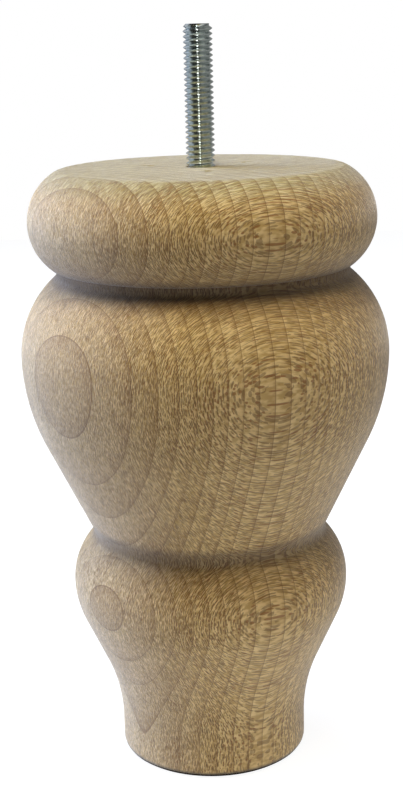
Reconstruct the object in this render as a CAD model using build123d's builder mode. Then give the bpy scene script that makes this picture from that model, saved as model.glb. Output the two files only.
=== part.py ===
from build123d import *
import os

# Turned beech furniture leg with a steel hanger bolt standing out of its top face.
# Millimetres. +Z is up along the turning axis, and the origin is the centre of the foot's underside.

# Foot, the plain round end that stands on the floor
foot_diameter = 54.3
foot_chamfer = 1.2
foot_land_height = 8.5

# Cove, the hollow sweep from the foot out to the bulb
cove_reach = 11.1

# Bulb, the small lower bead
bulb_diameter = 79.7
bulb_height = 52.9
bulb_reach = 5.3

# Waist, the lower groove between the bulb and the tapering vase, with a narrow land at its bottom
waist_diameter = 67.4
waist_height = 67.9
waist_land_height = 2.2

# Belly, the widest place of the vase
belly_diameter = 103.7
belly_height = 119.9
belly_reach = 13.0

# Neck, the upper groove, a narrow upright land cut in flat under the top ring and over the vase's shoulder
neck_diameter = 82.0
neck_height = 144.65
neck_land_height = 2.2

# Top ring, the fat bead under the flat face that meets the furniture
ring_edge_diameter = 83.6
ring_diameter = 96.7
ring_height = 157.3
leg_height = 171.45
top_face_diameter = 79.1

# Hanger bolt: a 5/16 inch machine thread above the leg and a wood screw end inside it
stud_diameter = 7.94
stud_length = 38.1
stud_end_chamfer = 0.8
shank_diameter = 6.9
shank_length = 6.0
screw_core_diameter = 5.6
screw_length = 32.0
screw_point_length = 8.0
screw_point_diameter = 0.6

# Bore in the leg's top that holds the bolt, eased at its mouth so that no fibres stand up round the thread
bore_clearance = 0.05
bore_mouth_clearance = 0.25
bore_mouth_depth = 0.7
bore_spare_depth = 3.0
drill_point_height = 1.7

# Dents that the turning machine's three driving prongs leave in the top face
prong_count = 3
prong_circle_diameter = 30.0
prong_first_angle = 38.0
prong_dent_diameter = 2.2
prong_dent_depth = 0.9


def point_towards(corner, target, reach):
    """The point that lies reach from corner on the line to target."""
    line = Vector(*target) - Vector(*corner)
    place = Vector(*corner) + line.normalized() * reach
    return (place.X, place.Y)


# Places on the outline, as (radius, height)
foot_rim = (foot_diameter / 2 - foot_chamfer, 0)
foot_side = (foot_diameter / 2, foot_chamfer)
cove_foot = (foot_diameter / 2, foot_land_height)
cove_corner = (foot_diameter / 2, foot_land_height + cove_reach)
bulb_corner = (bulb_diameter / 2, bulb_height - bulb_reach)
bulb_widest = (bulb_diameter / 2, bulb_height)
waist_bottom = (waist_diameter / 2, waist_height - waist_land_height / 2)
waist_top = (waist_diameter / 2, waist_height + waist_land_height / 2)
belly_corner = (belly_diameter / 2, belly_height - belly_reach)
belly_widest = (belly_diameter / 2, belly_height)
neck_bottom = (neck_diameter / 2, neck_height - neck_land_height)
neck_top = (neck_diameter / 2, neck_height)
ring_edge = (ring_edge_diameter / 2, neck_height)
ring_widest = (ring_diameter / 2, ring_height)
top_rim = (top_face_diameter / 2, leg_height)

# Each flank is a straight line that runs tangent into the arcs at its ends
cove_end = point_towards(cove_corner, bulb_corner, cove_reach)
bulb_start = point_towards(bulb_corner, cove_corner, bulb_reach)
belly_start = point_towards(belly_corner, waist_top, belly_reach)

upward = (0, 1)
downward = (0, -1)

# Depths of the bolt and its bore, measured down from the top face
shank_foot_height = leg_height - shank_length
screw_cone_height = shank_foot_height - screw_length + screw_point_length
screw_tip_height = shank_foot_height - screw_length
bore_floor_height = screw_tip_height - bore_spare_depth
bore_mouth_radius = stud_diameter / 2 + bore_mouth_clearance
shank_bore_radius = shank_diameter / 2 + bore_clearance
screw_bore_radius = screw_core_diameter / 2 + bore_clearance

with BuildPart() as turned_leg:
    with BuildSketch(Plane.XZ):
        with BuildLine():
            Line((0, 0), foot_rim)
            Line(foot_rim, foot_side)
            Line(foot_side, cove_foot)
            TangentArc(cove_foot, cove_end, tangent=upward)
            Line(cove_end, bulb_start)
            TangentArc(bulb_widest, bulb_start, tangent=downward)
            TangentArc(bulb_widest, waist_bottom, tangent=upward)
            Line(waist_bottom, waist_top)
            Line(waist_top, belly_start)
            TangentArc(belly_widest, belly_start, tangent=downward)
            TangentArc(belly_widest, neck_bottom, tangent=upward)
            Line(neck_bottom, neck_top)
            Line(neck_top, ring_edge)
            ThreePointArc(ring_edge, ring_widest, top_rim)
            Line(top_rim, (0, leg_height))
            Line((0, leg_height), (0, 0))
        make_face()
    revolve(axis=Axis.Z)

    # The stepped bore ends in the cone that the drill leaves
    with BuildSketch(Plane.XZ):
        with BuildLine():
            Polyline(
                (0, leg_height),
                (bore_mouth_radius, leg_height),
                (shank_bore_radius, leg_height - bore_mouth_depth),
                (shank_bore_radius, shank_foot_height),
                (screw_bore_radius, shank_foot_height),
                (screw_bore_radius, bore_floor_height),
                (0, bore_floor_height - drill_point_height),
                close=True,
            )
        make_face()
    revolve(axis=Axis.Z, mode=Mode.SUBTRACT)

    # Driving prong dents, small cones sunk into the top face
    with Locations((0, 0, leg_height)):
        with PolarLocations(prong_circle_diameter / 2, prong_count, start_angle=prong_first_angle):
            Cone(
                bottom_radius=0,
                top_radius=prong_dent_diameter / 2,
                height=prong_dent_depth,
                align=(Align.CENTER, Align.CENTER, Align.MAX),
                mode=Mode.SUBTRACT,
            )

turned_leg.part.label = "turned_leg"

with BuildPart() as hanger_bolt:
    with BuildSketch(Plane.XZ):
        with BuildLine():
            Polyline(
                (0, screw_tip_height),
                (screw_point_diameter / 2, screw_tip_height),
                (screw_core_diameter / 2, screw_cone_height),
                (screw_core_diameter / 2, shank_foot_height),
                (shank_diameter / 2, shank_foot_height),
                (shank_diameter / 2, leg_height),
                (stud_diameter / 2, leg_height),
                (stud_diameter / 2, leg_height + stud_length),
                (0, leg_height + stud_length),
                close=True,
            )
        make_face()
    revolve(axis=Axis.Z)
    stud_end = hanger_bolt.faces().sort_by(Axis.Z)[-1]
    chamfer(stud_end.edges(), length=stud_end_chamfer)

hanger_bolt.part.label = "hanger_bolt"

os.makedirs("parts", exist_ok=True)
export_step(turned_leg.part, "parts/turned_leg.step")
export_step(hanger_bolt.part, "parts/hanger_bolt.step")
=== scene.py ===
import logging
import math
from dataclasses import dataclass
from enum import Enum

import bmesh
import bpy
from mathutils import Matrix, Vector


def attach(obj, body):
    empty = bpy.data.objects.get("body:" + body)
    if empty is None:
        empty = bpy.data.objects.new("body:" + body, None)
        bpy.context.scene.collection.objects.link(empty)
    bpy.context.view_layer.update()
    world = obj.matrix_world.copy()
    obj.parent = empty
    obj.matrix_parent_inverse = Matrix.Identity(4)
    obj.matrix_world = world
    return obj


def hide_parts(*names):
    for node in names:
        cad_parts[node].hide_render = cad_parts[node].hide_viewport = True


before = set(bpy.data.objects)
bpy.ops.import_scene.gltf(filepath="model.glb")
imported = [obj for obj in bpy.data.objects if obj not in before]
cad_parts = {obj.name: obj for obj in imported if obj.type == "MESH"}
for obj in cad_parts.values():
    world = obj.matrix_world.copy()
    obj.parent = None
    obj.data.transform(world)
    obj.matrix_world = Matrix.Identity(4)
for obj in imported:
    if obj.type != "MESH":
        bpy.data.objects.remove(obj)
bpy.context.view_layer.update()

# A turned beech furniture leg with a threaded hanger bolt. The sizes of its pieces are in millimetres,
# and their meshes are in metres: +Z is up, and the origin is the centre of the foot's underside.
MM = 0.001
FULL_TURN = 2 * math.pi

Point = tuple[float, float]
Triple = tuple[float, float, float]
Colour = Triple
Socket = bpy.types.NodeSocket

NO_HEIGHT: Triple = (1.0, 1.0, 0.0)

log = logging.getLogger("furniture_leg")


class Cut(Enum):
    """How a wood surface was cut, or that it is the foot's edge painted in shade, which sets its tone
    and its gloss.
    """

    TURNED = "turned_side"
    SAWN_END = "sawn_end_grain"
    # The foot's chamfer: painted shadow where the foot meets the floor, with no gloss so it stays dark.
    SHADED_FOOT_EDGE = "rubbed_foot_edge"


def angle_at(centre: Point, point: Point) -> float:
    """The direction from centre to point in radians, from radius towards height."""
    return math.atan2(point[1] - centre[1], point[0] - centre[0])


def centre_beside(upright: Point, other: Point) -> Point:
    """Finds the centre of an arc that runs straight up or down at one of its ends.

    Args:
        upright: The end where the arc runs straight up or down.
        other: The arc's other end.

    Returns:
        The centre, which lies level with the upright end.
    """
    across = other[0] - upright[0]
    along = other[1] - upright[1]
    return (upright[0] + (across ** 2 + along ** 2) / (2 * across), upright[1])


def centre_through(first: Point, middle: Point, last: Point) -> Point:
    """Finds the centre of the circle through three points.

    Args:
        first: One point of the circle.
        middle: A second point.
        last: A third point.

    Returns:
        The circle's centre.
    """
    rows = Matrix((
        (middle[0] - first[0], middle[1] - first[1]),
        (last[0] - first[0], last[1] - first[1]),
    ))
    halves = Vector((
        (middle[0] ** 2 - first[0] ** 2 + middle[1] ** 2 - first[1] ** 2) / 2,
        (last[0] ** 2 - first[0] ** 2 + last[1] ** 2 - first[1] ** 2) / 2,
    ))
    centre = rows.inverted() @ halves
    return (centre.x, centre.y)


def point_towards(corner: Point, target: Point, reach: float) -> Point:
    """The point that lies reach from corner on the line to target."""
    line = Vector(target) - Vector(corner)
    place = Vector(corner) + line.normalized() * reach
    return (place.x, place.y)


class Outline:
    """A half outline in the plane of radius and height, grown end to end with mesh operators.

    Points are given in millimetres as (radius, height).
    """

    def __init__(self, start: Point, spacing: float) -> None:
        """Starts the outline.

        Args:
            start: The first point.
            spacing: The distance between the vertices that lines and arcs get.
        """
        self.mesh = bmesh.new()
        self.spacing = spacing
        self.place = start
        self.tip = self.mesh.verts.new(self.at(start))

    @staticmethod
    def at(point: Point) -> Vector:
        """The place of a point of the outline in metres."""
        return Vector((point[0] * MM, 0, point[1] * MM))

    def line_to(self, end: Point, spacing: float = 0.0) -> None:
        """Draws a straight line from the outline's tip.

        Args:
            end: Where the line ends.
            spacing: The distance between its vertices, or 0 for the outline's own.
        """
        length = math.dist(self.place, end)
        steps = max(1, round(length / (spacing or self.spacing)))
        step = (self.at(end) - self.at(self.place)) / steps
        self.grow(Vector(), step, 0.0, steps)
        self.place = end

    def arc_to(self, end: Point, centre: Point) -> None:
        """Draws the shorter arc from the outline's tip.

        Args:
            end: Where the arc ends.
            centre: The arc's centre.
        """
        turn = angle_at(centre, end) - angle_at(centre, self.place)
        turn = math.remainder(turn, FULL_TURN)
        steps = max(2, round(abs(turn) * math.dist(centre, end) / self.spacing))
        self.grow(self.at(centre), Vector(), turn, steps)
        self.place = end

    def grow(self, centre: Vector, step: Vector, turn: float, steps: int) -> None:
        """Grows the outline by spinning or moving its tip.

        Args:
            centre: The centre to spin about.
            step: How far each step moves.
            turn: The whole turn, from radius towards height.
            steps: How many vertices are added.
        """
        made = bmesh.ops.spin(
            self.mesh, geom=[self.tip], cent=centre, axis=(0, -1, 0), dvec=step,
            angle=turn, steps=steps, use_merge=False, use_duplicate=False,
        )
        self.tip = [item for item in made["geom_last"] if isinstance(item, bmesh.types.BMVert)][0]

    def ease(self, corner: Point, reach: float, passes: int) -> None:
        """Rounds a corner as sanding does.

        Args:
            corner: The corner's place.
            reach: How far from the corner the vertices move.
            passes: How often they are averaged, which sets the size of the round.
        """
        middle = self.at(corner)
        near = [vert for vert in self.mesh.verts if (vert.co - middle).length < reach * MM]
        for _ in range(passes):
            bmesh.ops.smooth_vert(
                self.mesh, verts=near, factor=0.5, use_axis_x=True, use_axis_y=False, use_axis_z=True
            )

    def turn(self, columns: int) -> bmesh.types.BMesh:
        """Turns the outline into a closed round solid.

        Args:
            columns: How many steps the full turn has.

        Returns:
            The solid's mesh, with its poles closed and its faces outwards.
        """
        bmesh.ops.spin(
            self.mesh, geom=list(self.mesh.verts) + list(self.mesh.edges), cent=(0, 0, 0),
            axis=(0, 0, 1), dvec=(0, 0, 0), angle=FULL_TURN, steps=columns, use_merge=True,
            use_duplicate=False,
        )
        close_up(self.mesh)
        return self.mesh


def close_up(mesh: bmesh.types.BMesh) -> None:
    """Merges a mesh's doubled vertices and then turns its faces outwards."""
    bmesh.ops.remove_doubles(mesh, verts=list(mesh.verts), dist=0.002 * MM)
    bmesh.ops.recalc_face_normals(mesh, faces=list(mesh.faces))


def as_piece(mesh: bmesh.types.BMesh, name: str, crease: float) -> bpy.types.Object:
    """Makes an object of a mesh, shaded smooth except along its creases.

    Args:
        mesh: The mesh, which is freed.
        name: The object's name.
        crease: The angle in degrees above which an edge stays sharp.

    Returns:
        The object, at the origin.
    """
    data = bpy.data.meshes.new(name)
    mesh.to_mesh(data)
    mesh.free()
    data.shade_smooth()
    data.set_sharp_from_angle(angle=math.radians(crease))
    piece = bpy.data.objects.new(name, data)
    bpy.context.scene.collection.objects.link(piece)
    return piece


class Wiring:
    """Adds nodes to a node tree and links them. A value may be a number, a tuple or another socket."""

    def __init__(self, tree: bpy.types.NodeTree) -> None:
        """Keeps the tree that is wired."""
        self.tree = tree

    def feed(self, socket: Socket, value: object) -> None:
        """Links a socket to another one, or sets its number or colour."""
        if isinstance(value, Socket):
            self.tree.links.new(value, socket)
        elif isinstance(value, tuple) and len(socket.default_value) == len(value) + 1:
            socket.default_value = (*value, 1.0)
        else:
            socket.default_value = value

    def add(self, kind: str, inputs: dict[str | int, object], **settings: object) -> bpy.types.Node:
        """Adds a node.

        Args:
            kind: The node's type.
            inputs: The values of its inputs, by name or number.
            **settings: The node's own settings.

        Returns:
            The node.
        """
        node = self.tree.nodes.new(kind)
        for name, value in settings.items():
            setattr(node, name, value)
        for name, value in inputs.items():
            self.feed(node.inputs[name], value)
        return node

    def number(self, operation: str, *values: object) -> Socket:
        """The result of a Math node."""
        return self.add("ShaderNodeMath", dict(enumerate(values)), operation=operation).outputs[0]

    def times(self, first: object, second: object) -> Socket:
        """Two numbers multiplied."""
        return self.number("MULTIPLY", first, second)

    def vector(self, operation: str, *values: object) -> Socket:
        """The vector that a Vector Math node gives."""
        return self.add("ShaderNodeVectorMath", dict(enumerate(values)), operation=operation).outputs[0]

    def measure(self, operation: str, *values: object) -> Socket:
        """The number that a Vector Math node gives, such as a length."""
        node = self.add("ShaderNodeVectorMath", dict(enumerate(values)), operation=operation)
        return node.outputs["Value"]

    def parts(self, place: object) -> bpy.types.NodeOutputs:
        """The X, Y and Z of a vector, by name."""
        return self.add("ShaderNodeSeparateXYZ", {"Vector": place}).outputs

    def joined(self, *values: object) -> Socket:
        """A vector joined from its X, Y and Z."""
        return self.add("ShaderNodeCombineXYZ", dict(enumerate(values))).outputs[0]

    def scaled(self, place: object, factor: Triple) -> Socket:
        """A place multiplied part by part, which stretches what reads it."""
        return self.vector("MULTIPLY", place, factor)

    def step(self, value: object, low: float, high: float) -> Socket:
        """A soft step from 0 to 1 as value goes from low to high, or back where low is the greater."""
        ends = (0.0, 1.0) if low < high else (1.0, 0.0)
        names = ("Value", "From Min", "From Max", "To Min", "To Max")
        inputs = dict(zip(names, (value, min(low, high), max(low, high), *ends)))
        return self.add("ShaderNodeMapRange", inputs, interpolation_type="SMOOTHSTEP").outputs[0]

    def spread(self, value: object, low: float, high: float) -> Socket:
        """A value from 0 to 1 spread evenly from low to high."""
        inputs = {"Value": value, "To Min": low, "To Max": high}
        return self.add("ShaderNodeMapRange", inputs, clamp=False).outputs[0]

    def noise(self, place: object, scale: float, detail: float = 1.0) -> Socket:
        """Noise from 0 to 1, with scale clouds to one unit of place and detail finer layers."""
        inputs = {"Vector": place, "Scale": scale, "Detail": detail}
        return self.add("ShaderNodeTexNoise", inputs).outputs["Fac"]

    def nearest(self, place: object) -> Socket:
        """The nearest of many scattered points, one to a unit cell."""
        inputs = {"Vector": place, "Scale": 1.0, "Exponent": 4.0}
        return self.add("ShaderNodeTexVoronoi", inputs, distance="MINKOWSKI").outputs["Position"]

    def blend(self, factor: object, first: object, second: object, way: str = "MIX") -> Socket:
        """Two colours blended.

        Args:
            factor: How much of the second colour there is.
            first: The first colour.
            second: The second colour.
            way: How they are blended.

        Returns:
            The blended colour.
        """
        node = self.add("ShaderNodeMix", {}, data_type="RGBA", blend_type=way, clamp_factor=True)
        for socket, value in ((0, factor), (6, first), (7, second)):
            self.feed(node.inputs[socket], value)
        return node.outputs[2]

    def place(self) -> Socket:
        """The place on the piece in millimetres."""
        here = self.add("ShaderNodeTexCoord", {}).outputs["Object"]
        return self.scaled(here, (1 / MM,) * 3)

    def surface(self, inputs: dict[str, object]) -> None:
        """Wires a Principled shader with these inputs to the material's output."""
        shader = self.add("ShaderNodeBsdfPrincipled", inputs)
        self.add("ShaderNodeOutputMaterial", {"Surface": shader.outputs[0]})


def new_material(name: str) -> tuple[bpy.types.Material, Wiring]:
    """Starts an empty material, and gives it with its wiring."""
    made = bpy.data.materials.new(name)
    made.use_nodes = True
    made.node_tree.nodes.clear()
    return made, Wiring(made.node_tree)


@dataclass(frozen=True)
class RayKind:
    """One kind of ray, a thin leaf of tissue that runs out from the pith.

    The three directions are away from the pith, round it and up. The spacing is how many millimetres
    apart the rays lie, the share is how much of it a ray's half size takes up, and the shift keeps
    two kinds off each other. The sizes are factors: where rays are scarce, and where they crowd.
    """

    spacing: Triple
    share: Triple
    sizes: Point
    shift: Triple = (0.0, 0.0, 0.0)
    fade: float = 0.25


@dataclass(frozen=True)
class BeechGrowth:
    """How the tree grew: its pith, growth rings, rays and fibres, as one block of wood shows them.

    Lengths are millimetres, and seasons and line widths are shares of a ring. The pith runs beside
    the leg, whose front left is cut along the rings, and its front right along the rays.
    """

    pith: Point = (-106.1, -94.6)
    pith_height: float = 110.0
    pith_lean: Point = (0.0139, 0.0002)
    middle_radius: float = 125.0
    middle_year: float = 7.12
    ring_width: float = 4.06
    thinning: float = 0.00078
    fat_years_start: float = 115.1
    fat_years_length: float = 42.9
    fat_years_gain: float = 0.26
    ring_wander: float = 0.3
    wander_length: float = 45.0
    summer_bend: float = 1.2
    autumn: Point = (0.74, 0.97)
    autumn_depth: float = 0.3
    line_width: float = 0.075
    flat_line_width: float = 0.035
    spring: float = 0.992
    ray_radius: float = 142.0
    big_rays: RayKind = RayKind((9.0, 0.55, 1.6), (1.0, 0.18, 0.26), (0.2, 1.6))
    small_rays: RayKind = RayKind((4.0, 0.38, 1.7), (1.4, 0.20, 0.52), (0.85, 1.4), (31.0, 17.0, 53.0))
    crowd_stretch: Triple = (0.03, 0.25, 0.12)
    fibre_stretch: Triple = (0.35, 2.6, 0.9)
    fibre_edges: Point = (0.34, 0.66)
    cloud_stretch: Triple = (0.03, 0.03, 0.012)

    def group(self) -> bpy.types.NodeTree:
        """Builds the node group that every cut of the wood shares.

        Returns:
            A group from a place in millimetres to the masks. Growth rises from 0 after winter to 1 at
            the ring's end, and Facing is 1 where a side lies along the rings.
        """
        tree = bpy.data.node_groups.new("beech_growth", "ShaderNodeTree")
        tree.interface.new_socket(name="Place", in_out="INPUT", socket_type="NodeSocketVector")
        wire = Wiring(tree)
        place = wire.add("NodeGroupInput", {}).outputs["Place"]
        from_pith = self.from_pith(wire, place)
        radius = self.ring_radius(wire, place, from_pith)
        years = self.years(wire, radius)
        season = wire.number("FRACT", years)
        year = wire.add("ShaderNodeTexWhiteNoise", {"W": wire.number("FLOOR", years)},
                        noise_dimensions="1D").outputs["Value"]
        outward = wire.vector("NORMALIZE", wire.scaled(place, NO_HEIGHT))
        to_bark = wire.vector("NORMALIZE", wire.scaled(from_pith, NO_HEIGHT))
        facing = wire.number("ABSOLUTE", wire.measure("DOT_PRODUCT", outward, to_bark))

        away = wire.parts(from_pith)
        bearing = wire.number("ARCTAN2", away["Y"], away["X"])
        round_pith = wire.times(bearing, self.ray_radius)
        along = wire.joined(radius, round_pith, wire.parts(place)["Z"])
        crowd = wire.noise(wire.scaled(along, self.crowd_stretch), 1.0)
        fibre = wire.noise(wire.scaled(along, self.fibre_stretch), 1.0, 1.5)
        masks = {
            "Growth": wire.number("POWER", season, self.summer_bend),
            "Ring Line": self.ring_line(wire, season, facing),
            "Rays": self.rays(wire, along, self.big_rays, crowd),
            "Small Rays": self.rays(wire, along, self.small_rays, crowd),
            "Fibre": wire.step(fibre, *self.fibre_edges),
            "Year Tone": year,
            "Cloud": wire.noise(wire.scaled(place, self.cloud_stretch), 1.0, 2.0),
            "Facing": facing,
        }
        for name in masks:
            tree.interface.new_socket(name=name, in_out="OUTPUT", socket_type="NodeSocketFloat")
        wire.add("NodeGroupOutput", masks)
        return tree

    def from_pith(self, wire: Wiring, place: object) -> Socket:
        """The way to a place from the pith, which leans a little, with the height left in."""
        height = wire.number("SUBTRACT", wire.parts(place)["Z"], self.pith_height)
        pith = [wire.number("MULTIPLY_ADD", height, lean, start)
                for lean, start in zip(self.pith_lean, self.pith)]
        return wire.vector("SUBTRACT", place, wire.joined(*pith))

    def ring_radius(self, wire: Wiring, place: object, from_pith: object) -> Socket:
        """Measures how far out from the pith a place's growth ring lies.

        Args:
            wire: The wiring of the group.
            place: The place.
            from_pith: The way to it from the pith.

        Returns:
            The distance, with a small wander.
        """
        inputs = {"Vector": place, "Scale": 1 / self.wander_length, "Detail": 1.0}
        clouds = wire.add("ShaderNodeTexNoise", inputs).outputs["Color"]
        wander = wire.vector("SUBTRACT", clouds, (0.5, 0.5, 0.5))
        wander = wire.scaled(wander, (2 * self.ring_wander,) * 3)
        return wire.measure("LENGTH", wire.scaled(wire.vector("ADD", from_pith, wander), NO_HEIGHT))

    def years(self, wire: Wiring, radius: object) -> Socket:
        """Counts the growth rings out to a distance from the pith.

        Args:
            wire: The wiring of the group.
            radius: The distance from the pith.

        Returns:
            The count, whose whole numbers are the rings' ends. Rings grow thinner outwards, and
            fat and lean years take turns.
        """
        past = wire.number("SUBTRACT", radius, self.middle_radius)
        slope = wire.number("MULTIPLY_ADD", past, self.thinning, 1 / self.ring_width)
        even = wire.number("MULTIPLY_ADD", past, slope, self.middle_year)
        phase = wire.number("SUBTRACT", radius, self.fat_years_start)
        wave = wire.number("SINE", wire.times(phase, FULL_TURN / self.fat_years_length))
        return wire.number("MULTIPLY_ADD", wave, self.fat_years_gain, even)

    def ring_line(self, wire: Wiring, season: object, facing: object) -> Socket:
        """Draws the dark line at each ring's end, after the wood has darkened through autumn.

        Args:
            wire: The wiring of the group.
            season: How much of the year's ring has grown, from 0 to 1.
            facing: 1 where a side lies along the rings, and shows a line much widened.

        Returns:
            The line's mask.
        """
        dark = wire.times(wire.step(season, *self.autumn), self.autumn_depth)
        narrowing = self.flat_line_width - self.line_width
        width = wire.number("MULTIPLY_ADD", facing, narrowing, self.line_width)
        left = wire.number("DIVIDE", wire.number("SUBTRACT", 1.0, season), width)
        line = wire.number("MAXIMUM", dark, wire.step(left, 1.0, 0.5))
        return wire.times(line, wire.step(season, 1.0, self.spring))

    @staticmethod
    def rays(wire: Wiring, along: object, kind: RayKind, crowd: object) -> Socket:
        """Scatters one kind of ray.

        Args:
            wire: The wiring of the group.
            along: The place as distance from the pith, distance round it and height.
            kind: The kind of ray.
            crowd: How crowded the rays are here, from 0 to 1.

        Returns:
            The rays' mask.
        """
        shifted = wire.vector("ADD", along, kind.shift)
        place = wire.scaled(shifted, tuple(1 / part for part in kind.spacing))
        offset = wire.vector("SUBTRACT", place, wire.nearest(place))
        distance = wire.measure("LENGTH", wire.scaled(offset, tuple(1 / part for part in kind.share)))
        inside = wire.number("SUBTRACT", wire.spread(crowd, *kind.sizes), distance)
        return wire.step(inside, 0.0, kind.fade)


@dataclass(frozen=True)
class Strengths:
    """How strongly the figure shows on a surface, from 0 to 1.

    Of two numbers, the first is for a side along the rays, and the second for one along the rings.
    """

    flecks: Point
    rays: float
    ring_lines: Point


@dataclass(frozen=True)
class GrooveShade:
    """Painted shade in a groove or under the ring that overhangs it, whose middle and reach are in
    millimetres.
    """

    middle: float
    reach: float
    depth: float


@dataclass(frozen=True)
class BeechFinish:
    """Bare sanded beech. Colours are linear.

    The tones are how far years, clouds and fibres stray from the plain colour, and dark_red and
    dark_blue are how much red and blue a tone of 0 would leave.
    """

    growth: BeechGrowth = BeechGrowth()
    early: Colour = (0.63, 0.44, 0.175)
    late: Colour = (0.545, 0.355, 0.128)
    # Paler tone where a side lies along the rings: partly the look of beech cut that way, partly a
    # painted sheen for the whitish haze grazing light leaves there.
    flat_cut_and_sheen: Colour = (0.60, 0.455, 0.30)
    flat_cut_and_sheen_share: float = 0.45
    ring_line: Colour = (0.18, 0.085, 0.02)
    ray: Colour = (0.27, 0.11, 0.02)
    pore: Colour = (0.11, 0.044, 0.003)
    end_early: Colour = (0.51, 0.43, 0.215)
    end_late: Colour = (0.41, 0.32, 0.13)
    bruise: Colour = (0.29, 0.25, 0.11)
    bruise_edge: Point = (2.1, 0.9)
    bruise_depth: float = 0.8
    # Painted shade: a dark colour laid in bands over the neck groove, the underside of the top ring and
    # the waist groove, where shade falls.
    groove_shade: Colour = (0.07, 0.035, 0.02)
    groove_shades: tuple[GrooveShade, ...] = (GrooveShade(143.4, 4.2, 0.60), GrooveShade(147.0, 5.0, 0.24), GrooveShade(69.0, 4.2, 0.55))
    # Painted shadow: the foot's chamfer and lowest side darken to this, as the shade where the foot
    # meets the floor.
    foot_shade: Colour = (0.012, 0.007, 0.004)
    foot_shade_edge: Point = (2.4, 1.0)
    year_tone: float = 0.05
    cloud_tone: float = 0.14
    fibre_tone: float = 0.26
    dark_red: float = 0.2
    dark_blue: float = -0.6
    on_side: Strengths = Strengths((0.5, 0.85), 0.8, (0.6, 0.65))
    on_end: Strengths = Strengths((0.6, 0.6), 0.4, (0.9, 0.9))
    roughness: float = 0.62
    end_roughness: float = 0.8
    fibre_roughness: float = 0.06
    ray_gloss: float = 0.12
    tooth: float = 0.1
    tooth_strength: float = 0.6
    line_rise: float = 0.35
    sheen: float = 0.5
    shoulder_height: float = 164.5
    rim_height: float = 171.3

    def material(
        self, cut: Cut, growth_group: bpy.types.NodeTree, bruises: list[Vector]
    ) -> bpy.types.Material:
        """Makes the wood's material for one kind of cut.

        Args:
            cut: How the surface was cut.
            growth_group: The group that gives the growth figure.
            bruises: Places in millimetres where the fibres are pressed in.

        Returns:
            The material.
        """
        made, wire = new_material(f"beech_{cut.value}")
        place = wire.place()
        figure = wire.add("ShaderNodeGroup", {}, node_tree=growth_group)
        wire.feed(figure.inputs["Place"], place)
        mask = figure.outputs
        height = wire.parts(place)["Z"]
        sawn, shaded_edge = cut is Cut.SAWN_END, cut is Cut.SHADED_FOOT_EDGE
        endwise = 1.0 if sawn else wire.step(height, self.shoulder_height, self.rim_height)
        colour = self.clean(wire, mask, endwise)
        colour = self.figured(wire, mask, colour, self.on_end if sawn else self.on_side)
        colour = self.bruised_and_shaded(wire, place, colour, bruises if sawn else [])

        rise = wire.number("MULTIPLY_ADD", mask["Small Rays"], -1.0, mask["Fibre"])
        rise = wire.number("MULTIPLY_ADD", mask["Ring Line"], self.line_rise, rise)
        bump = wire.add("ShaderNodeBump", {
            "Height": rise, "Strength": self.tooth_strength, "Distance": self.tooth * MM,
        })
        matt = self.end_roughness if sawn else self.roughness
        fuzz = wire.spread(mask["Fibre"], matt - self.fibre_roughness, matt + self.fibre_roughness)
        wire.surface({
            "Base Color": colour,
            "Roughness": wire.number("MULTIPLY_ADD", mask["Rays"], -self.ray_gloss, fuzz),
            "Normal": bump.outputs[0],
            "IOR": 1.45,
            # The painted-shade foot edge has no gloss, so its painted shadow stays dark.
            "Specular IOR Level": 0.0 if shaded_edge else 0.5,
            "Sheen Weight": 0.0 if shaded_edge else self.sheen,
            "Sheen Roughness": 0.45,
        })
        return made

    def clean(self, wire: Wiring, mask: bpy.types.NodeOutputs, endwise: object) -> Socket:
        """Colours the clean wood.

        Args:
            wire: The wiring of the material.
            mask: The growth figure.
            endwise: 1 on end grain and 0 on the side.

        Returns:
            The colour, from early to late wood, in the tones of years, clouds and fibres.
        """
        side = wire.blend(mask["Growth"], self.early, self.late)
        # Paler where the side lies along the rings: partly the wood's own look, partly painted sheen.
        flat = wire.spread(wire.step(mask["Facing"], 0.5, 0.95), 0.0, self.flat_cut_and_sheen_share)
        side = wire.blend(flat, side, self.flat_cut_and_sheen)
        end = wire.blend(mask["Growth"], self.end_early, self.end_late)
        tone = wire.number("ADD", wire.spread(mask["Year Tone"], -self.year_tone, self.year_tone),
                           wire.spread(mask["Cloud"], 1 - self.cloud_tone, 1 + self.cloud_tone))
        tone = wire.number("ADD", tone, wire.spread(mask["Fibre"], -self.fibre_tone, self.fibre_tone))
        red, blue = wire.spread(tone, self.dark_red, 1.0), wire.spread(tone, self.dark_blue, 1.0)
        return wire.blend(1.0, wire.blend(endwise, side, end), wire.joined(red, tone, blue), "MULTIPLY")

    def figured(self, wire: Wiring, mask: bpy.types.NodeOutputs, colour: object,
                strengths: Strengths) -> Socket:
        """Draws the flecks, rays and ring lines over a colour.

        Args:
            wire: The wiring of the material.
            mask: The growth figure.
            colour: The clean wood's colour.
            strengths: How strongly each of them shows.

        Returns:
            The colour with its figure.
        """
        turned_to = wire.step(mask["Facing"], 0.1, 0.6)
        flecks = wire.times(mask["Small Rays"], wire.spread(turned_to, *strengths.flecks))
        rays = wire.times(mask["Rays"], strengths.rays)
        lines = wire.spread(mask["Facing"], *strengths.ring_lines)
        lines = wire.times(mask["Ring Line"], lines)
        colour = wire.blend(flecks, colour, self.pore)
        colour = wire.blend(rays, colour, self.ray)
        return wire.blend(lines, colour, self.ring_line)

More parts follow.
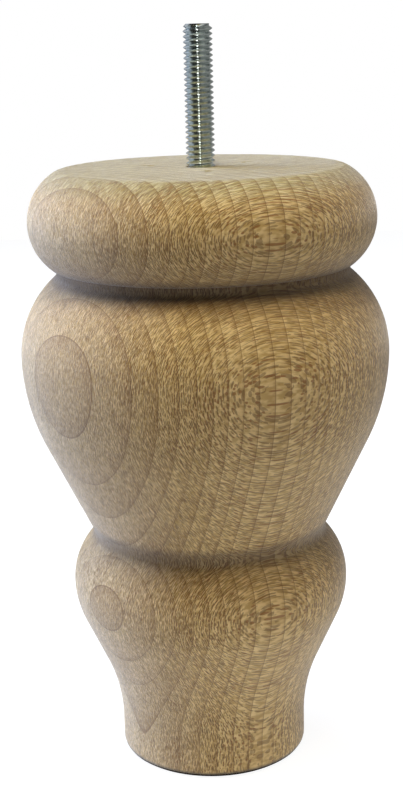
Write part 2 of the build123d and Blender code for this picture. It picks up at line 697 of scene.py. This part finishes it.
    def bruised_and_shaded(self, wire: Wiring, place: object, colour: object, bruises: list[Vector]) -> Socket:
        """Darkens pressed fibres on end grain, and on the side paints shade into the grooves and onto
        the foot's edge.

        Args:
            wire: The wiring of the material.
            place: The place on the wood.
            colour: The wood's colour.
            bruises: The middles of the pressed places, or none on the side.

        Returns:
            The darkened colour.
        """
        for bruise in bruises:
            pressed = wire.step(wire.measure("DISTANCE", place, tuple(bruise)), *self.bruise_edge)
            pressed = wire.times(pressed, self.bruise_depth)
            colour = wire.blend(pressed, colour, self.bruise)
        if bruises:
            return colour
        height = wire.parts(place)["Z"]
        # Painted shade: each band darkens the colour towards the middle of a groove, where shade falls.
        for groove_shade in self.groove_shades:
            away = wire.number("ABSOLUTE", wire.number("SUBTRACT", height, groove_shade.middle))
            share = wire.times(wire.step(away, groove_shade.reach, groove_shade.reach / 4), groove_shade.depth)
            colour = wire.blend(share, colour, self.groove_shade)
        # Painted shadow along the foot's lowest edge.
        return wire.blend(wire.step(height, *self.foot_shade_edge), colour, self.foot_shade)


@dataclass(frozen=True)
class ZincFinish:
    """Bright zinc plating, blue-grey and slightly uneven."""

    bright: Colour = (0.71, 0.77, 0.74)
    dull: Colour = (0.55, 0.60, 0.58)
    roughness: float = 0.20
    patches_per_mm: float = 0.9
    grains_per_mm: float = 6.0
    grain_height: float = 0.002
    grain_strength: float = 0.1

    def material(self) -> bpy.types.Material:
        """Makes the plating's material."""
        made, wire = new_material("zinc_plating")
        place = wire.place()
        patch = wire.noise(place, self.patches_per_mm, 3.0)
        grain = wire.noise(place, self.grains_per_mm, 2.0)
        bump = wire.add("ShaderNodeBump", {
            "Height": grain, "Strength": self.grain_strength, "Distance": self.grain_height * MM,
        })
        wire.surface({
            "Base Color": wire.blend(wire.step(patch, 0.35, 0.75), self.bright, self.dull),
            "Roughness": wire.number("ADD", wire.spread(patch, -0.06, 0.10), self.roughness),
            "Normal": bump.outputs[0],
            "Metallic": 1.0,
        })
        return made


@dataclass
class TurnedLeg:
    """The beech leg: foot, cove, bulb, waist, vase, neck and top ring, turned from one piece."""

    foot_diameter: float = 54.3
    foot_chamfer: float = 1.2
    foot_land_height: float = 8.5
    cove_reach: float = 11.1
    bulb_diameter: float = 79.7
    bulb_height: float = 52.9
    bulb_reach: float = 5.3
    waist_diameter: float = 67.4
    waist_height: float = 67.9
    waist_land_height: float = 2.2
    belly_diameter: float = 103.7
    belly_height: float = 119.9
    belly_reach: float = 13.0
    neck_diameter: float = 82.0
    neck_height: float = 144.65
    neck_land_height: float = 2.2
    ring_edge_diameter: float = 83.6
    ring_diameter: float = 96.7
    ring_height: float = 157.3
    leg_height: float = 171.45
    top_face_diameter: float = 79.1
    bore_mouth_diameter: float = 8.44
    bore_mouth_depth: float = 0.7
    shank_bore_diameter: float = 7.0
    shank_bore_depth: float = 6.0
    screw_bore_diameter: float = 5.7
    screw_bore_depth: float = 41.0
    drill_point_height: float = 1.7
    prong_count: int = 3
    prong_circle_diameter: float = 30.0
    prong_first_angle: float = 38.0
    prong_dent_diameter: float = 2.2
    prong_dent_depth: float = 0.9
    prong_tip_radius: float = 0.1
    foot_rim_width: float = 4.0
    top_rim_width: float = 3.0
    spacing: float = 0.7
    columns: int = 224

    def outline(self) -> Outline:
        """Draws the half outline from the axis under the foot to the drill's point in the bore.

        Returns:
            The outline, with its two grooves and its edges eased.
        """
        foot, bulb, belly = self.foot_diameter / 2, self.bulb_diameter / 2, self.belly_diameter / 2
        cove_foot = (foot, self.foot_land_height)
        cove_corner = (foot, self.foot_land_height + self.cove_reach)
        bulb_corner = (bulb, self.bulb_height - self.bulb_reach)
        bulb_widest = (bulb, self.bulb_height)
        waist, land = self.waist_diameter / 2, self.waist_land_height / 2
        waist_bottom = (waist, self.waist_height - land)
        waist_top = (waist, self.waist_height + land)
        belly_corner = (belly, self.belly_height - self.belly_reach)
        belly_widest = (belly, self.belly_height)
        neck_bottom = (self.neck_diameter / 2, self.neck_height - self.neck_land_height)
        neck_top = (self.neck_diameter / 2, self.neck_height)
        ring_edge = (self.ring_edge_diameter / 2, self.neck_height)
        ring_widest = (self.ring_diameter / 2, self.ring_height)
        top_rim = (self.top_face_diameter / 2, self.leg_height)
        cove_end = point_towards(cove_corner, bulb_corner, self.cove_reach)
        bulb_start = point_towards(bulb_corner, cove_corner, self.bulb_reach)
        belly_start = point_towards(belly_corner, waist_top, self.belly_reach)

        line = Outline((0, 0), self.spacing)
        line.line_to((foot - self.foot_rim_width, 0), spacing=6)
        line.line_to((foot - self.foot_chamfer, 0))
        line.line_to((foot, self.foot_chamfer))
        line.line_to(cove_foot)
        line.arc_to(cove_end, centre_beside(cove_foot, cove_end))
        line.line_to(bulb_start)
        line.arc_to(bulb_widest, centre_beside(bulb_widest, bulb_start))
        line.arc_to(waist_bottom, centre_beside(bulb_widest, waist_bottom))
        line.line_to(waist_top)
        line.line_to(belly_start)
        line.arc_to(belly_widest, centre_beside(belly_widest, belly_start))
        line.arc_to(neck_bottom, centre_beside(belly_widest, neck_bottom))
        line.line_to(neck_top)
        line.line_to(ring_edge)
        ring_centre = centre_through(ring_edge, ring_widest, top_rim)
        line.arc_to(ring_widest, ring_centre)
        line.arc_to(top_rim, ring_centre)
        line.line_to((top_rim[0] - self.top_rim_width, self.leg_height))
        self.bore(line)

        line.ease((foot, 0), reach=3.0, passes=2)
        line.ease((waist, self.waist_height), reach=2.5, passes=2)
        line.ease(neck_bottom, reach=1.5, passes=1)
        line.ease(ring_edge, reach=0.6, passes=1)
        line.ease(top_rim, reach=2.5, passes=3)
        return line

    def bore(self, line: Outline) -> None:
        """Draws the top face from its rim inwards, and the stepped bore down to the drill's point."""
        mouth, shank = self.bore_mouth_diameter / 2, self.shank_bore_diameter / 2
        screw = self.screw_bore_diameter / 2
        for radius, depth, spacing in (
            (mouth, 0, 5), (shank, self.bore_mouth_depth, 0), (shank, self.shank_bore_depth, 6),
            (screw, self.shank_bore_depth, 0), (screw, self.screw_bore_depth, 12),
            (0, self.screw_bore_depth + self.drill_point_height, 9),
        ):
            line.line_to((radius, self.leg_height - depth), spacing)

    def prong_places(self) -> list[Vector]:
        """The middles of the dents that the driving prongs left in the top face."""
        places = []
        for prong in range(self.prong_count):
            bearing = math.radians(self.prong_first_angle) + FULL_TURN * prong / self.prong_count
            spoke = Vector((math.cos(bearing), math.sin(bearing), 0)) * self.prong_circle_diameter / 2
            places.append(spoke + Vector((0, 0, self.leg_height)))
        return places

    def dent(self, piece: bpy.types.Object) -> None:
        """Sinks the prongs' dents into the top face.

        Args:
            piece: The leg, whose mesh is replaced by the dented one.
        """
        cutters = bmesh.new()
        for place in self.prong_places():
            bmesh.ops.create_cone(
                cutters, cap_ends=True, segments=12, radius1=self.prong_tip_radius * MM,
                radius2=self.prong_dent_diameter * MM, depth=2 * self.prong_dent_depth * MM,
                matrix=Matrix.Translation(place * MM),
            )
        cutter = as_piece(cutters, "prong_cutter", crease=30)
        sink = piece.modifiers.new("prong_dents", "BOOLEAN")
        sink.operation = "DIFFERENCE"
        sink.solver = "EXACT"
        sink.object = cutter
        sight = bpy.context.evaluated_depsgraph_get()
        dented = bpy.data.meshes.new_from_object(piece.evaluated_get(sight))
        piece.modifiers.clear()
        piece.data = dented
        bpy.data.objects.remove(cutter)

    def cut_at(self, face: bpy.types.MeshPolygon) -> Cut:
        """Tells how the wood was cut at a face.

        Args:
            face: A face of the leg.

        Returns:
            Sawn on the flat top and underside, painted in shade on the foot's chamfer, and turned
            elsewhere.
        """
        height = face.center.z / MM
        lies_flat = abs(face.normal.z) > 0.97
        at_an_end = height > self.leg_height - 1.5 or height < 0.3
        if lies_flat and at_an_end:
            return Cut.SAWN_END
        return Cut.SHADED_FOOT_EDGE if height < self.foot_chamfer + 0.3 else Cut.TURNED

    def build(self, finish: BeechFinish) -> bpy.types.Object:
        """Builds the leg and gives each of its cuts its own material.

        Args:
            finish: The wood's finish.

        Returns:
            The leg.
        """
        piece = as_piece(self.outline().turn(self.columns), "beech_leg", crease=35)
        self.dent(piece)
        growth_group = finish.growth.group()
        places = self.prong_places()
        piece.data.materials.clear()
        for cut in Cut:
            piece.data.materials.append(finish.material(cut, growth_group, places))
        numbers = {cut: number for number, cut in enumerate(Cut)}
        for face in piece.data.polygons:
            face.material_index = numbers[self.cut_at(face)]
        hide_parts("turned_leg")
        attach(piece, "root")
        return piece


@dataclass(frozen=True)
class ThreadForm:
    """The form of a thread, whose flat crest and root are shares of its pitch."""

    diameter: float
    depth: float
    pitch: float
    crest: float
    root: float


@dataclass(frozen=True)
class Taper:
    """A cone round the axis that starts narrow at one height and widens away from it."""

    tip_height: float
    tip_radius: float
    length: float

    def radius_at(self, height: float, own: float) -> float:
        """Works out how far out a vertex may stand.

        Args:
            height: The vertex's height.
            own: The vertex's own radius, which past the cone's length it keeps.

        Returns:
            The greatest radius.
        """
        share = abs(height - self.tip_height) / self.length
        if share >= 1:
            return own
        full = max(own, self.tip_radius)
        return self.tip_radius + (full - self.tip_radius) * share


@dataclass
class HangerBolt:
    """The steel bolt: a machine thread out of the wood, and a shank and a wood screw thread in it."""

    leg_height: float = 171.45
    stud_thread: ThreadForm = ThreadForm(diameter=7.94, depth=0.8, pitch=1.411, crest=0.18, root=0.06)
    stud_length: float = 38.1
    stud_sink: float = 0.6
    end_chamfer: float = 0.8
    shank_diameter: float = 6.9
    shank_length: float = 6.0
    shank_sink: float = 0.5
    shank_lap: float = 0.2
    screw_thread: ThreadForm = ThreadForm(diameter=7.6, depth=1.0, pitch=2.8, crest=0.06, root=0.54)
    screw_length: float = 32.0
    screw_point_length: float = 8.0
    screw_point_radius: float = 0.35
    columns: int = 40

    def thread(self, low: float, high: float, form: ThreadForm) -> bmesh.types.BMesh:
        """Winds a thread, closed flat at both ends.

        Args:
            low: The height of the lower end.
            high: The height of the upper end.
            form: The thread's form.

        Returns:
            The thread's mesh.
        """
        mesh = bmesh.new()
        outer, inner = form.diameter / 2, form.diameter / 2 - form.depth
        flank = (1 - form.crest - form.root) / 2
        crest_start, crest_end = form.root + flank, form.root + flank + form.crest
        ladder = ((inner, 0), (inner, form.root), (outer, crest_start), (outer, crest_end), (inner, 1))
        start = low - form.pitch
        rungs = [mesh.verts.new((radius * MM, 0, (start + share * form.pitch) * MM))
                 for radius, share in ladder]
        sides = [mesh.edges.new(pair) for pair in zip(rungs, rungs[1:])]
        turns = math.ceil((high - low) / form.pitch) + 2
        bmesh.ops.spin(
            mesh, geom=rungs + sides, cent=(0, 0, 0), axis=(0, 0, 1),
            dvec=(0, 0, form.pitch * MM / self.columns), angle=turns * FULL_TURN,
            steps=turns * self.columns, use_merge=False, use_duplicate=False,
        )
        bmesh.ops.remove_doubles(mesh, verts=list(mesh.verts), dist=0.004 * MM)
        for height, way in ((low, -1), (high, 1)):
            everything = list(mesh.verts) + list(mesh.edges) + list(mesh.faces)
            cut = bmesh.ops.bisect_plane(
                mesh, geom=everything, dist=0.0005 * MM, plane_co=(0, 0, height * MM),
                plane_no=(0, 0, way), clear_outer=True,
            )
            rim = [item for item in cut["geom_cut"] if isinstance(item, bmesh.types.BMEdge)]
            bmesh.ops.triangle_fill(mesh, edges=rim, use_beauty=True)
        return mesh

    @staticmethod
    def taper(mesh: bmesh.types.BMesh, limit: Taper) -> None:
        """Turns a thread down to a cone, as on a chamfered end or a gimlet point.

        Args:
            mesh: The thread.
            limit: The cone that no vertex stands out of.
        """
        for vert in mesh.verts:
            radius = math.hypot(vert.co.x, vert.co.y)
            allowed = limit.radius_at(vert.co.z / MM, radius / MM) * MM
            if radius > allowed:
                vert.co.x *= allowed / radius
                vert.co.y *= allowed / radius

    def build(self, finish: ZincFinish) -> bpy.types.Object:
        """Builds the bolt.

        Args:
            finish: The plating.

        Returns:
            The bolt.
        """
        top = self.leg_height + self.stud_length
        shank_foot = self.leg_height - self.shank_length
        stud = self.thread(self.leg_height - self.stud_sink, top, self.stud_thread)
        end_radius = self.stud_thread.diameter / 2 - self.end_chamfer
        self.taper(stud, Taper(top, end_radius, self.end_chamfer))
        low, high = shank_foot - self.shank_lap, self.leg_height - self.shank_sink
        shank = Outline((0, low), spacing=20)
        for corner in ((self.shank_diameter / 2, low), (self.shank_diameter / 2, high), (0, high)):
            shank.line_to(corner)
        tip = shank_foot - self.screw_length
        screw = self.thread(tip, shank_foot, self.screw_thread)
        self.taper(screw, Taper(tip, self.screw_point_radius, self.screw_point_length))

        whole = bmesh.new()
        for part in (stud, shank.turn(self.columns), screw):
            scrap = bpy.data.meshes.new("bolt_part")
            part.to_mesh(scrap)
            part.free()
            whole.from_mesh(scrap)
            bpy.data.meshes.remove(scrap)
        close_up(whole)
        piece = as_piece(whole, "zinc_bolt", crease=32)
        piece.data.materials.append(finish.material())
        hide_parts("hanger_bolt")
        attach(piece, "root")
        return piece


@dataclass
class Camera:
    """The photograph's viewpoint, in millimetres and radians."""

    place: Triple = (0.0, -405.40, 208.57)
    tilt_down: float = 0.2499
    turn_right: float = -0.0035
    roll: float = -0.0253
    lens: float = 65.73
    sensor: float = 36.0

    def set_up(self) -> None:
        """Makes the camera the scene's own."""
        data = bpy.data.cameras.new("photo_camera")
        data.lens = self.lens
        data.sensor_width = self.sensor
        data.clip_start = 0.01
        camera = bpy.data.objects.new("photo_camera", data)
        look = (Matrix.Rotation(-self.turn_right, 4, "Z")
                @ Matrix.Rotation(math.pi / 2 - self.tilt_down, 4, "X")
                @ Matrix.Rotation(self.roll, 4, "Z"))
        camera.matrix_world = Matrix.Translation(Vector(self.place) * MM) @ look
        bpy.context.scene.collection.objects.link(camera)
        bpy.context.scene.camera = camera


@dataclass(frozen=True)
class SoftLamp:
    """A soft box that faces a point on the leg. Lengths are metres, and power is watts.

    A mirrored lamp shows in gloss alone, and the others don't show in it.
    """

    name: str
    place: Triple
    size: Point
    power: float
    colour: Colour = (1.0, 1.0, 1.0)
    mirrored: bool = False
    target: Triple = (0.0, 0.0, 0.1)

    def hang(self) -> None:
        """Puts the lamp in the scene."""
        data = bpy.data.lights.new(self.name, "AREA")
        data.shape = "RECTANGLE"
        data.size, data.size_y = self.size
        data.energy = self.power
        data.color = self.colour
        lamp = bpy.data.objects.new(self.name, data)
        lamp.visible_glossy = self.mirrored
        lamp.visible_diffuse = not self.mirrored
        lamp.location = self.place
        way = Vector(self.target) - Vector(self.place)
        lamp.rotation_euler = way.to_track_quat("-Z", "Y").to_euler()
        bpy.context.scene.collection.objects.link(lamp)


@dataclass
class Studio:
    """The white floor and backdrop, the soft boxes and the room's own light.

    The edges are where each side of the room starts and where it is full, along a way's unit vector.
    """

    half_width: float = 1.2
    backdrop_distance: float = 1.1
    floor_bounce: float = 0.2
    floor_lift: float = 0.93
    floor_glow: float = 0.76
    glow_reach: float = 0.25
    glow_end: float = 0.40
    room_front: float = 0.03
    room_left: float = 0.75
    room_left_edge: Point = (0.6, 0.85)
    room_left_slant: float = 0.5
    room_right: float = 0.30
    room_right_edge: Point = (0.05, 0.45)
    room_behind: float = 0.35
    room_behind_edge: Point = (0.75, 0.95)
    window_tint: Colour = (0.80, 0.84, 1.0)
    lamps: tuple[SoftLamp, ...] = (
        SoftLamp("key_above", (-0.06, -0.20, 1.0), (0.20, 0.20), 4.2, (0.98, 1.0, 0.96)),
        SoftLamp("key_front", (0.0, -0.40, 0.95), (0.22, 0.22), 2.6, (1.0, 0.84, 0.68)),
        SoftLamp("upper_left", (-0.50, 0.02, 0.86), (0.30, 0.30), 5.0, (0.82, 0.89, 1.0)),
        SoftLamp("left_window", (-0.86, 0.36, 0.15), (0.40, 0.50), 12.5, (0.52, 0.67, 1.0)),
        SoftLamp("back_left", (-0.60, 0.62, 0.35), (0.50, 0.80), 6.5, (0.54, 0.67, 1.0)),
        SoftLamp("right_card", (0.80, 0.0, 0.55), (0.50, 0.70), 1.6),
        SoftLamp("front_spark", (-0.04, -0.60, 0.165), (0.07, 0.10), 0.26, mirrored=True),
    )

    def sheet(self, name: str, place: Matrix) -> bpy.types.Object:
        """Makes one flat sheet of the studio.

        Args:
            name: The sheet's name.
            place: Where it lies.

        Returns:
            The sheet.
        """
        mesh = bmesh.new()
        bmesh.ops.create_grid(mesh, x_segments=1, y_segments=1, size=self.half_width, matrix=place)
        piece = as_piece(mesh, name, crease=30)
        return piece

    def white(self, name: str, lift: float, bounce: float, glow: float) -> bpy.types.Material:
        """Makes a white that shows as the background and still takes a shadow.

        Args:
            name: The material's name.
            lift: How much white the camera sees by itself.
            bounce: How much light the surface gives back.
            glow: How much light it sends out round the leg.

        Returns:
            The material.
        """
        made, wire = new_material(name)
        path = wire.add("ShaderNodeLightPath", {}).outputs
        seen = wire.number("MAXIMUM", path["Is Camera Ray"], path["Is Transmission Ray"])
        away = wire.measure("LENGTH", wire.place())
        near = wire.step(away, self.glow_end / MM, self.glow_reach / MM)
        lit = wire.times(near, glow)
        strength = wire.number("MULTIPLY_ADD", wire.number("SUBTRACT", lift, lit), seen, lit)
        wire.surface({
            "Base Color": (bounce,) * 3, "Roughness": 0.9, "Specular IOR Level": 0.0,
            "Emission Color": (1.0, 1.0, 1.0), "Emission Strength": strength,
        })
        return made

    def room(self) -> None:
        """Sets the room: white to the camera, and to mirrors bright left and dark in front."""
        world = bpy.data.worlds.new("studio_room")
        world.use_nodes = True
        world.node_tree.nodes.clear()
        wire = Wiring(world.node_tree)
        way = wire.add("ShaderNodeTexCoord", {}).outputs["Generated"]
        ways = wire.parts(way)
        path = wire.add("ShaderNodeLightPath", {}).outputs
        right = wire.step(ways["X"], *self.room_right_edge)
        right = wire.spread(right, self.room_front, self.room_right)
        behind = wire.times(wire.step(ways["Y"], *self.room_behind_edge), self.room_behind)
        slanted = wire.times(ways["Y"], self.room_left_slant)
        left = wire.step(wire.number("SUBTRACT", slanted, ways["X"]), *self.room_left_edge)
        left = wire.times(left, path["Is Glossy Ray"])
        mirrored = wire.times(wire.number("MAXIMUM", right, behind), path["Is Glossy Ray"])
        mirrored = wire.number("MAXIMUM", mirrored, wire.times(left, self.room_left))
        tint = wire.blend(left, (1.0, 1.0, 1.0), self.window_tint)
        strength = wire.number("MAXIMUM", mirrored, path["Is Camera Ray"])
        sky = wire.add("ShaderNodeBackground", {"Color": tint, "Strength": strength})
        wire.add("ShaderNodeOutputWorld", {"Surface": sky.outputs[0]})
        bpy.context.scene.world = world

    def set_up(self) -> None:
        """Builds the studio round the leg."""
        floor = self.sheet("floor", Matrix())
        white = self.white("floor_white", self.floor_lift, self.floor_bounce, self.floor_glow)
        floor.data.materials.append(white)
        upright = Matrix.Rotation(math.pi / 2, 4, "X")
        shift = Matrix.Translation((0, self.backdrop_distance, self.half_width))
        backdrop = self.sheet("backdrop", shift @ upright)
        backdrop.data.materials.append(self.white("backdrop_white", lift=1.0, bounce=0.0, glow=0.0))
        backdrop.visible_glossy = False
        for lamp in self.lamps:
            lamp.hang()
        self.room()
        bpy.context.scene.view_settings.view_transform = "Standard"


def main() -> None:
    """Builds the leg, its bolt, the studio and the camera."""
    logging.basicConfig(level=logging.INFO, format="%(message)s")
    for piece in (TurnedLeg().build(BeechFinish()), HangerBolt().build(ZincFinish())):
        log.info("%s has %d faces", piece.name, len(piece.data.polygons))
    Studio().set_up()
    Camera().set_up()


if __name__ == "__main__":
    main()
